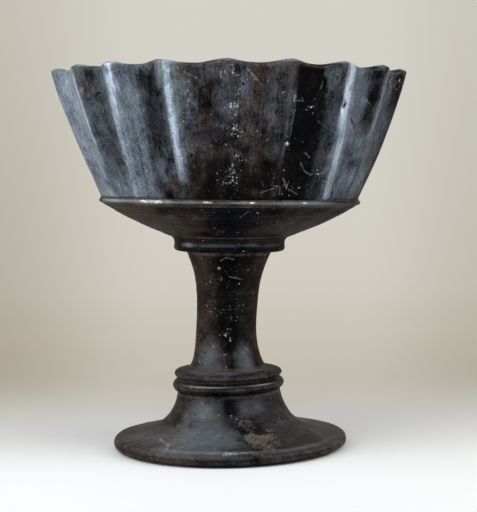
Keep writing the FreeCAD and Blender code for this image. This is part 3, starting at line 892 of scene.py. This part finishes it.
class CUP_OT_foot(bpy.types.Operator):
    """Makes the hollow trumpet foot, with its thick brim, crust and scratches"""

    bl_idname = "clay_cup.foot"
    bl_label = "Foot"

    def execute(self, context):
        sizes = context.scene.cup_body
        brim, top = reach("foot"), head_of("foot")
        bulge = (brim, 0.53 * sizes.brim_height)
        arris = (brim - 0.0014, sizes.brim_height)
        neck = (sizes.neck_radius, top)
        hollow_top = (sizes.neck_hollow, top - 0.0037)
        slope = [(0.10, 0.020), (0.285, 0.078), (0.42, 0.135), (0.54, 0.185), (0.695, 0.275), (0.825, 0.435),
                 (0.95, 0.73)]
        hollow = [(0.23, 0.085), (0.47, 0.245), (0.69, 0.44), (0.87, 0.67)]
        start = (sizes.rest_inner, 0)
        runs = [
            (straight(start, (sizes.rest_outer, 0)), PLAIN),
            (rounded((sizes.rest_outer, 0), (brim, 0), bulge), FINE),
            (curved(bulge, (brim - 0.0003, 0.82 * sizes.brim_height), arris), FINE),
            (curved(arris, *between(arris, neck, slope), neck), FINE),
            (straight(neck, (sizes.spigot, top), (sizes.spigot, hollow_top[1]), hollow_top), PLAIN),
            (curved(hollow_top, *between(start, hollow_top, hollow)[::-1], start), PLAIN),
        ]
        nicks = [(-62, 0.0045, 0.004, 0.0012, 0.0002), (24, 0.004, 0.0022, 0.0011, 0.00025)]
        crust = [(21.5, 0.0083, 0.0104, 0.0033, 0.00020, 1.0), (17, 0.0140, 0.0062, 0.0028, 0.00004, 0.45),
                 (5, 0.0112, 0.0040, 0.0030, 0.00002, 0.36), (34, 0.0112, 0.0030, 0.0010, 0.00006, 0.6),
                 (-30, 0.0222, 0.0024, 0.0014, 0.00004, 0.6), (12, 0.0056, 0.0030, 0.0008, 0.00004, 0.5)]
        # Painted highlights: soft sheen patches and glints along the brim's arris, and hardly any sheen down
        # the dark front
        lustre_and_painted_sheen = [(-20, 0.0095, 26, 0.0055, 0.24), (-62, 0.0085, 22, 0.0035, 0.12),
                  (-27, 0.0190, 22, 0.0050, 0.19), (24, 0.0205, 18, 0.0035, 0.10),
                  (52, 0.008, 25, 0.004, 0.04), (14, 0.0132, 15, 0.0035, 0.02), (2, 0.0205, 9, 0.006, 0.02),
                  (0, 0.0020, 200, 0.0026, 0.02), (-12, 0.0058, 26, 0.0003, 0.30),
                  (38, 0.0057, 26, 0.0003, 0.14), (120, 0.014, 25, 0.008, 0.16),
                  (-130, 0.012, 22, 0.006, 0.16)]
        flecks = [(12, 0.0135, 12, 0.004, 0.5), (-4, 0.012, 6, 0.003, 0.5), (2, 0.0058, 10, 0.0005, 0.9),
                  (16, 0.021, 8, 0.002, 0.4)]
        body_piece(context, "foot", runs, steps=512, seed=11, ripple=sizes.ripple, edge=0.00026,
                   nicks=nicks, crust=crust,
                   paint={"brown": (BODY_BROWN, [(-85, 0.004, 14, 0.006, 0.9), (-25, 0.014, 14, 0.008, 0.2)]),
                          "lustre_and_painted_sheen": (((-180, 0.05), (180, 0.05)), lustre_and_painted_sheen), "flecks": (BODY_FLECKS, flecks)})
        return {"FINISHED"}


class CUP_OT_rings(bpy.types.Operator):
    """Makes the two rings round the stem's base"""

    bl_idname = "clay_cup.rings"
    bl_label = "Rings"

    def execute(self, context):
        sizes = context.scene.cup_body
        bore = sizes.stem_base
        groove = bore + 0.0051
        low, joint, high = foot_of("lower_stem_ring"), head_of("lower_stem_ring"), head_of("upper_stem_ring")
        tall = joint - low
        lower = reach("lower_stem_ring")
        lower_side = curved((sizes.neck_radius, low), (lower - 0.0006, low + 0.24 * tall),
                            (lower, low + 0.5 * tall), (lower - 0.0007, low + 0.74 * tall),
                            (groove + 0.0003, joint - 0.0002), (groove, joint))
        tall = high - joint
        upper = reach("upper_stem_ring")
        upper_side = curved((groove, joint), (upper - 0.0009, joint + 0.10 * tall),
                            (upper, joint + 0.40 * tall), (upper - 0.0005, joint + 0.66 * tall),
                            (upper - 0.0024, joint + 0.82 * tall), (bore + 0.0014, joint + 0.93 * tall),
                            (bore, high))
        for name, side, bottom, top, seed in (("lower_stem_ring", lower_side, low, joint, 21),
                                              ("upper_stem_ring", upper_side, joint, high, 31)):
            inside = straight((side[-1][0], top), (bore, top), (bore, bottom), side[0])
            runs = [(side, 0.0003), (inside, PLAIN)]
            glint = [(-25, bottom + 0.0042, 30, 0.0003, 0.34), (38, bottom + 0.0043, 22, 0.00025, 0.38),
                     (-15, top - 0.0005, 50, 0.0006, 0.15 if name == "upper_stem_ring" else 0.02)]
            nicks = [(34, bottom + 0.0026, 0.0007, 0.0006, 0.0006)] if name == "lower_stem_ring" else ()
            body_piece(context, name, runs, steps=420, seed=seed, ripple=0.7 * sizes.ripple, edge=0.00017,
                       nicks=nicks, paint={"brown": (STEM_BROWN, ()), "lustre_and_painted_sheen": (BODY_LUSTRE_AND_SHEEN, glint),
                                           "flecks": (BODY_FLECKS, ())})
        return {"FINISHED"}


class CUP_OT_stem(bpy.types.Operator):
    """Makes the waisted, hollow stem"""

    bl_idname = "clay_cup.stem"
    bl_label = "Stem"

    def execute(self, context):
        sizes = context.scene.cup_body
        base, waist, head, bore = sizes.stem_base, sizes.stem_waist, reach("stem"), sizes.stem_bore
        bottom, top = foot_of("stem"), head_of("stem")
        seat = head_of("foot") + 0.0004
        sleeve, collar = head_of("upper_stem_ring"), foot_of("stem_collar")
        down = [(0.72, 0.085), (0.51, 0.175), (0.30, 0.32), (0.15, 0.46), (0.06, 0.65)]
        up = [(0.01, 0.18), (0.055, 0.35), (0.19, 0.56), (0.37, 0.705), (0.61, 0.835), (0.865, 0.945)]
        middle = sizes.waist_height
        lower = [(waist + swell * (base - waist), sleeve + way * (middle - sleeve)) for swell, way in down]
        upper = [(waist + swell * (head - waist), middle + way * (collar - middle)) for swell, way in up]
        seated = straight((bore, bottom), (sizes.spigot, bottom), (sizes.spigot, seat), (base, seat),
                          (base, sleeve))
        runs = [
            (seated, PLAIN),
            (curved((base, sleeve), *lower, (waist, middle), *upper, (head, collar)), FINE),
            (straight((head, collar), (head, top), (bore, top), (bore, bottom)), 2 * PLAIN),
        ]
        # Painted shade and highlights: no brown down the front, a painted dark band, and painted sheen
        # highlights low on both sides
        brown = [(2, 0.060, 9, 0.05, 0.0), (-40, 0.060, 10, 0.006, 0.6), (-32, 0.042, 40, 0.008, 0.8)]
        lustre_and_painted_sheen = [(-30, 0.041, 26, 0.009, 0.17), (32, 0.040, 20, 0.008, 0.15)]
        flecks = [(-15, 0.0812, 5, 0.0014, 0.86), (-12, 0.0765, 5, 0.0012, 0.86), (5, 0.058, 12, 0.006, 0.45),
                  (0, 0.052, 14, 0.0012, 0.7)]
        body_piece(context, "stem", runs, steps=288, seed=41, ripple=0.8 * sizes.ripple,
                   paint={"brown": (STEM_BROWN, brown), "lustre_and_painted_sheen": (((-180, 0.01), (180, 0.01)), lustre_and_painted_sheen),
                          "flecks": (STEM_FLECKS, flecks)})
        return {"FINISHED"}


class CUP_OT_collar(bpy.types.Operator):
    """Makes the collar under the bowl"""

    bl_idname = "clay_cup.collar"
    bl_label = "Collar"

    def execute(self, context):
        sizes = context.scene.cup_body
        bottom, top = foot_of("stem_collar"), head_of("stem_collar")
        flare, bore = reach("stem_collar"), reach("stem")
        side = flare - 0.0013
        runs = [
            (rounded((side - 0.0017, bottom), (side, bottom), (side, bottom + 0.0017)), 0.0003),
            (curved((side, bottom + 0.0017), (side - 0.0001, bottom + 0.0032), (side, top - 0.0018),
                    (flare - 0.0007, top - 0.0007), (flare, top)), 0.0003),
            (straight((flare, top), (bore, top), (bore, bottom), (side - 0.0017, bottom)), PLAIN),
        ]
        # Painted highlights along the collar; the brown falls nearly to black at the front, a painted dark
        # band
        brown = ((-180, 0.3), (-90, 0.3), (-50, 0.15), (0, 0.02), (50, 0.15), (180, 0.3))
        lustre_and_painted_sheen = [(-47, 0.0914, 10, 0.0010, 0.26), (-12, 0.0914, 24, 0.0008, 0.14),
                  (22, 0.0916, 10, 0.0007, 0.14), (48, 0.0914, 14, 0.0007, 0.10)]
        body_piece(context, "stem_collar", runs, steps=420, seed=51, ripple=sizes.ripple, edge=0.00013,
                   sheltered=top,
                   paint={"brown": (brown, ()), "flecks": (BODY_FLECKS, ()), "lustre_and_painted_sheen": (BODY_LUSTRE_AND_SHEEN, lustre_and_painted_sheen)})
        return {"FINISHED"}


class CUP_OT_dish(bpy.types.Operator):
    """Makes the bowl's shallow dish"""

    bl_idname = "clay_cup.dish"
    bl_label = "Dish"

    def execute(self, context):
        sizes = context.scene.cup_body
        flutes = context.scene.cup_flutes
        bottom, top = foot_of("bowl_dish"), head_of("bowl_dish")
        edge, cordon = reach("bowl_dish"), foot_of("dish_cordon")
        inner = flutes.base_radius - flutes.base_thickness
        start, end = (reach("stem_collar"), bottom), (edge, cordon)
        floor, inside = (0, bottom + 0.0062), (inner, top)
        under = [(0.045, 0.034), (0.13, 0.107), (0.29, 0.235), (0.50, 0.43), (0.76, 0.705)]
        bowl = [(0.36, 0.035), (0.60, 0.20), (0.82, 0.51)]
        runs = [
            (straight((0, bottom), start), 3 * PLAIN),
            (curved(start, *between(start, end, under), end), FINE),
            (straight(end, (edge - 0.0024, cordon), (edge - 0.0024, top), inside), PLAIN),
            (curved(inside, *between(floor, inside, bowl)[::-1], floor), 0.0009),
        ]
        body_piece(context, "bowl_dish", runs, steps=512, seed=61, ripple=1.3 * sizes.ripple,
                   paint=BODY_PAINT)
        return {"FINISHED"}


class CUP_OT_cordon(bpy.types.Operator):
    """Makes the sharp cordon round the dish's edge, with its chipped rim, worn and with a painted highlight
    line
    """

    bl_idname = "clay_cup.cordon"
    bl_label = "Cordon"

    def execute(self, context):
        sizes = context.scene.cup_body
        bottom, top = foot_of("dish_cordon"), head_of("dish_cordon")
        tip, edge = reach("dish_cordon"), reach("bowl_dish")
        inner, wall = edge - 0.0023, context.scene.cup_flutes.base_radius
        runs = [
            (curved((edge, bottom), (tip - 0.0002, bottom + 0.00045), (tip, bottom + 0.00095),
                    (tip - 0.00025, bottom + 0.0015), (wall, top)), 0.00016),
            (straight((wall, top), (inner, top), (inner, bottom), (edge, bottom)), PLAIN),
        ]
        chips_of_light = [(angle, bottom + 0.0014, wide, tall, strength) for angle, wide, tall, strength in
                          ((-32, 5.0, 0.0014, 1.0), (-38.0, 3.0, 0.0008, 1.0), (-9, 3.0, 0.0006, 1.0),
                           (6, 1.8, 0.0006, 1.0), (9.5, 1.8, 0.0006, 1.0), (-55, 8.0, 0.0006, 0.7),
                           (32, 4.0, 0.0004, 1.0))]
        chance = np.random.default_rng(71)
        chips = [(-36, 0.0012, 0.0006, 0.0006, 0.00035), (-31, 0.0009, 0.0009, 0.0006, 0.0004),
                 (-27, 0.0013, 0.0005, 0.0004, 0.0003), (-8, 0.0010, 0.0010, 0.0004, 0.0002),
                 (7, 0.0010, 0.0012, 0.0004, 0.0002), (29, 0.0011, 0.0008, 0.0006, 0.0003)]
        chips += [(angle, 0.0010, size, 0.0006, 0.00025) for angle, size in
                  zip(chance.uniform(-180, 180, 46), chance.uniform(0.0003, 0.0009, 46))]
        nicks = [(angle, bottom + height, width, tall, depth) for angle, height, width, tall, depth in chips]
        crust = [(-8, bottom + 0.0014, 0.020, 0.0005, 0.00002, 0.7),
                 (14, bottom + 0.0013, 0.014, 0.0004, 0.00002, 0.6)]
        # Painted highlight along the cordon's crest; the strong wear there is partly real wear, partly the
        # same painted highlight
        lustre_and_painted_sheen = [(-58, bottom + 0.0012, 14, 0.0008, 0.45), (-33, bottom + 0.0012, 10, 0.0009, 0.55),
                  (-14, bottom + 0.0013, 9, 0.0006, 0.40), (6, bottom + 0.0013, 8, 0.0006, 0.50),
                  (30, bottom + 0.0012, 22, 0.0008, 0.30)]
        body_piece(context, "dish_cordon", runs, steps=900, seed=71, rubbed=0.5, ripple=0.5 * sizes.ripple,
                   edge=0.00003, nicks=nicks, crust=crust,
                   paint={"brown": (BODY_BROWN, ()), "flecks": (BODY_FLECKS, chips_of_light),
                          "lustre_and_painted_sheen": (BODY_LUSTRE_AND_SHEEN, lustre_and_painted_sheen)})
        return {"FINISHED"}


class CUP_OT_wall(bpy.types.Operator):
    """Makes the fluted wall with its scalloped lip"""

    bl_idname = "clay_cup.wall"
    bl_label = "Fluted wall"

    def execute(self, context):
        sizes, look = context.scene.cup_flutes, context.scene.cup_clay
        scores = [(19, 0.1165, 13, 0.1145), (20.5, 0.1165, 21, 0.1135), (20, 0.117, 17, 0.1175),
                  (23.5, 0.1165, 22, 0.119), (22, 0.119, 21, 0.1205), (23.5, 0.1165, 24, 0.1195),
                  (25.5, 0.1155, 29, 0.1135), (27.5, 0.1265, 30, 0.123), (30, 0.123, 33, 0.1215),
                  (37.5, 0.122, 33, 0.1215), (28.5, 0.1305, 31, 0.1285), (51.5, 0.152, 54, 0.150),
                  (22, 0.151, 24.5, 0.151), (30.5, 0.1555, 31, 0.1585), (39.5, 0.119, 43, 0.118),
                  (48, 0.1145, 47.5, 0.118), (73, 0.1155, 71, 0.120), (6, 0.1635, 11, 0.157),
                  (-13, 0.163, -9, 0.160)]
        cracks = [(-48, 0.1555, -46.5, 0.1565), (-46.5, 0.1565, -45, 0.1565), (-24.5, 0.1555, -23.5, 0.1545),
                  (-23.5, 0.1565, -22, 0.1555), (-22, 0.1555, -21.5, 0.154), (-21.5, 0.154, -20, 0.1565),
                  (-41, 0.131, -40.5, 0.129), (-29.5, 0.1505, -29, 0.1495), (-69, 0.1345, -68.5, 0.1335),
                  (46.5, 0.144, 50, 0.140), (39.5, 0.151, 40, 0.148), (40.5, 0.150, 39.5, 0.149)]
        material = shared("burnished_wall", clay, look, "up", 0.015, 1.0, COOL, scores, cracks)
        piece = made_by_nodes("fluted_wall", *wall_tree(sizes, material))
        lip = head_of("fluted_wall")
        work_surface(piece, context.scene.cup_body, 81, 0.0, drift=RIDGE_DRIFT, edge=0.0002,
                     sheltered=0.8 * lip, clouded=0.7,
                     paint=wall_paint(sizes.count),
                     nicks=[(-71, lip - 0.0006, 0.0012, 0.0012, 0.0006),
                            (38.3, lip - 0.0186, 0.0009, 0.0018, 0.0010),
                            (-47, lip - 0.0120, 0.0010, 0.0006, 0.0004)])
        as_piece(piece, "fluted_wall", material)
        return {"FINISHED"}


class CUP_OT_slip_beds(bpy.types.Operator):
    """Makes the three beds of slip that hold the pieces together"""

    bl_idname = "clay_cup.slip_beds"
    bl_label = "Slip beds"

    def execute(self, context):
        sizes, look = context.scene.cup_body, context.scene.cup_clay
        material = shared("joint_slip", slip, look)
        flutes = context.scene.cup_flutes
        beds = {"foot_slip_bed": (sizes.spigot, reach("foot_slip_bed")),
                "stem_slip_bed": (sizes.stem_bore, reach("stem_slip_bed")),
                "wall_slip_bed": (flutes.base_radius - flutes.base_thickness, reach("wall_slip_bed"))}
        key = 0.0005
        for name, (inner, outer) in beds.items():
            low, high = foot_of(name) + key, head_of(name) - key
            ring = straight((inner, low), (outer, low), (outer, high), (inner, high), (inner, low))
            piece = turned(name, [(ring, 0.0002)], 256, 0.25 * sizes.softening)
            set_places(piece.data, settle(vertex_places(piece.data)))
            as_piece(piece, name, material)
        return {"FINISHED"}


def seen_directly(graph):
    """1 for what the camera sees, itself or in a reflection, and 0 for what only lights the cup."""
    ray = graph.node("ShaderNodeLightPath", output="Is Camera Ray")
    return (ray + ray.other("Is Glossy Ray") + ray.other("Is Transmission Ray")).clamped()


def sweep_look(stage):
    """Near-white by the camera, with painted shade darkest behind the cup and at the sides, and paler again
    up the backdrop.

    Far from the cup it glows with its own colour for the camera and reflections, so it needs no lamp.
    """
    material, graph, place = new_material("sweep")
    x, y, z = graph.parts(place)
    tone = graph.mixed(y.rise(-0.05, 0.215), stage.floor, stage.shade)
    tone = graph.mixed(y.rise(0.26, 1.25), tone, stage.backdrop)
    # The shade at the sides starts further out the further back it lies
    spread = x / (y + 0.6)
    side = (-0.05 - spread).rise(0.0, 0.14) + (spread - 0.09).rise(0.0, 0.10) * 0.6
    side = side * y.rise(-0.02, 0.25) * (1 - z.rise(0.0, 0.4) * 0.35)
    tone = graph.mixed(side, tone, graph.mixed(1.0, tone, stage.edge, "MULTIPLY"))
    away = (abs(x).rise(0.45, 1.3) + (y * -1.0).rise(0.7, 1.4)).clamped()
    tone = graph.mixed(away, tone, stage.backdrop)
    lit = graph.node("ShaderNodeBsdfPrincipled", values={"Base Color": tone, "Roughness": 0.85,
                                                         "Specular IOR Level": 0.2})
    glow = graph.node("ShaderNodeEmission", values={"Color": tone, "Strength": 1.0})
    own_light = (y.rise(0.10, 0.45) + away).clamped() * seen_directly(graph)
    shader = graph.node("ShaderNodeMixShader", values=[own_light, lit, glow])
    graph.node("ShaderNodeOutputMaterial", values={"Surface": shader})
    return material


class CUP_OT_stage(bpy.types.Operator):
    """Makes the pale floor and backdrop, the soft lamps and the camera"""

    bl_idname = "clay_cup.stage"
    bl_label = "Stage"

    def execute(self, context):
        stage = context.scene.cup_stage
        self.make_sweep(stage)
        self.make_lamps(stage)
        self.make_camera(stage)
        context.scene.view_settings.view_transform = "Standard"
        return {"FINISHED"}

    def make_sweep(self, stage):
        """Floor and backdrop in one, joined by a wide curve."""
        front, back, bend, high, wide = -1.6, 0.75, 0.45, 1.7, 2.2
        turns = [math.radians(a) for a in range(0, 91, 5)]
        side = [(front, 0)] + [(back + bend * math.sin(t), bend * (1 - math.cos(t))) for t in turns]
        side.append((back + bend, high))
        places = [(x, y, z) for y, z in side for x in (-wide, wide)]
        faces = [(2 * i, 2 * i + 1, 2 * i + 3, 2 * i + 2) for i in range(len(side) - 1)]
        mesh = bpy.data.meshes.new("sweep")
        mesh.from_pydata(places, [], faces)
        mesh.shade_smooth()
        sweep = bpy.data.objects.new("sweep", mesh)
        bpy.context.scene.collection.objects.link(sweep)
        mesh.materials.append(sweep_look(stage))

    def make_lamps(self, stage):
        """Two wide soft lamps at the sides, and one weak one above."""
        middle = Vector((0, 0, 0.10))
        for name, angle, lift, away, wide, tall, share, tint in (
                ("left_lamp", -70, 28, 1.25, 1.50, 1.20, 2.10, (0.93, 0.97, 1.0)),
                ("right_lamp", 74, 26, 1.30, 0.90, 1.20, 1.55, (0.98, 0.99, 1.0)),
                ("top_lamp", 0, 66, 1.30, 1.30, 0.90, 1.12, (1.0, 1.0, 1.0))):
            lamp = bpy.data.lights.new(name, "AREA")
            lamp.shape = "RECTANGLE"
            lamp.size, lamp.size_y = wide, tall
            lamp.energy = stage.lamp * share
            lamp.color = tint
            turn, up = math.radians(angle), math.radians(lift)
            way = Vector((math.sin(turn) * math.cos(up), -math.cos(turn) * math.cos(up), math.sin(up)))
            stand = bpy.data.objects.new(name, lamp)
            stand.location = middle + away * way
            stand.rotation_euler = way.to_track_quat("Z", "Y").to_euler()
            bpy.context.scene.collection.objects.link(stand)
        world = bpy.data.worlds.new("studio")
        world.use_nodes = True
        graph = Graph(world.node_tree)
        room = graph.mixed(seen_directly(graph), (0.12, 0.12, 0.12), stage.backdrop)
        background = graph.node("ShaderNodeBackground", values=[room])
        graph.node("ShaderNodeOutputWorld", values={"Surface": background})
        bpy.context.scene.world = world

    def make_camera(self, stage):
        ahead = Vector((0, math.cos(stage.pitch), -math.sin(stage.pitch)))
        right = ahead.cross(Vector((0, 0, 1))).normalized()
        turn = Matrix((right, right.cross(ahead), -ahead)).transposed() @ Matrix.Rotation(-stage.roll, 3, "Z")
        camera = bpy.data.cameras.new("camera")
        camera.sensor_width = 36
        camera.lens = stage.lens
        stand = bpy.data.objects.new("camera", camera)
        stand.matrix_world = Matrix.Translation((stage.side, -stage.distance, stage.height)) @ turn.to_4x4()
        bpy.context.scene.collection.objects.link(stand)
        bpy.context.scene.camera = stand


OPERATORS = (CUP_OT_foot, CUP_OT_rings, CUP_OT_stem, CUP_OT_collar, CUP_OT_dish, CUP_OT_cordon, CUP_OT_wall,
             CUP_OT_slip_beds, CUP_OT_stage)
SETTINGS = {"cup_flutes": FluteSizes, "cup_body": BodySizes, "cup_clay": ClayLook, "cup_stage": StageLook}


class CUP_PT_panel(bpy.types.Panel):
    """Lists the cup's pieces and settings"""

    bl_idname = "CUP_PT_panel"
    bl_label = "Clay cup"
    bl_space_type = "VIEW_3D"
    bl_region_type = "UI"
    bl_category = "Clay cup"

    def draw(self, context):
        for operator in OPERATORS:
            self.layout.operator(operator.bl_idname)
        for name, group in SETTINGS.items():
            box = self.layout.box()
            box.label(text=group.__doc__)
            for setting in group.__annotations__:
                box.prop(getattr(context.scene, name), setting)


def register():
    for group in SETTINGS.values():
        bpy.utils.register_class(group)
    for name, group in SETTINGS.items():
        setattr(bpy.types.Scene, name, PointerProperty(type=group))
    for operator in OPERATORS:
        bpy.utils.register_class(operator)
    bpy.utils.register_class(CUP_PT_panel)


def unregister():
    bpy.utils.unregister_class(CUP_PT_panel)
    for operator in reversed(OPERATORS):
        bpy.utils.unregister_class(operator)
    for name in SETTINGS:
        delattr(bpy.types.Scene, name)
    for group in reversed(SETTINGS.values()):
        bpy.utils.unregister_class(group)


def main():
    register()
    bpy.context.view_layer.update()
    for operator in OPERATORS:
        group, action = operator.bl_idname.split(".")
        getattr(getattr(bpy.ops, group), action)()


if __name__ == "__main__":
    main()
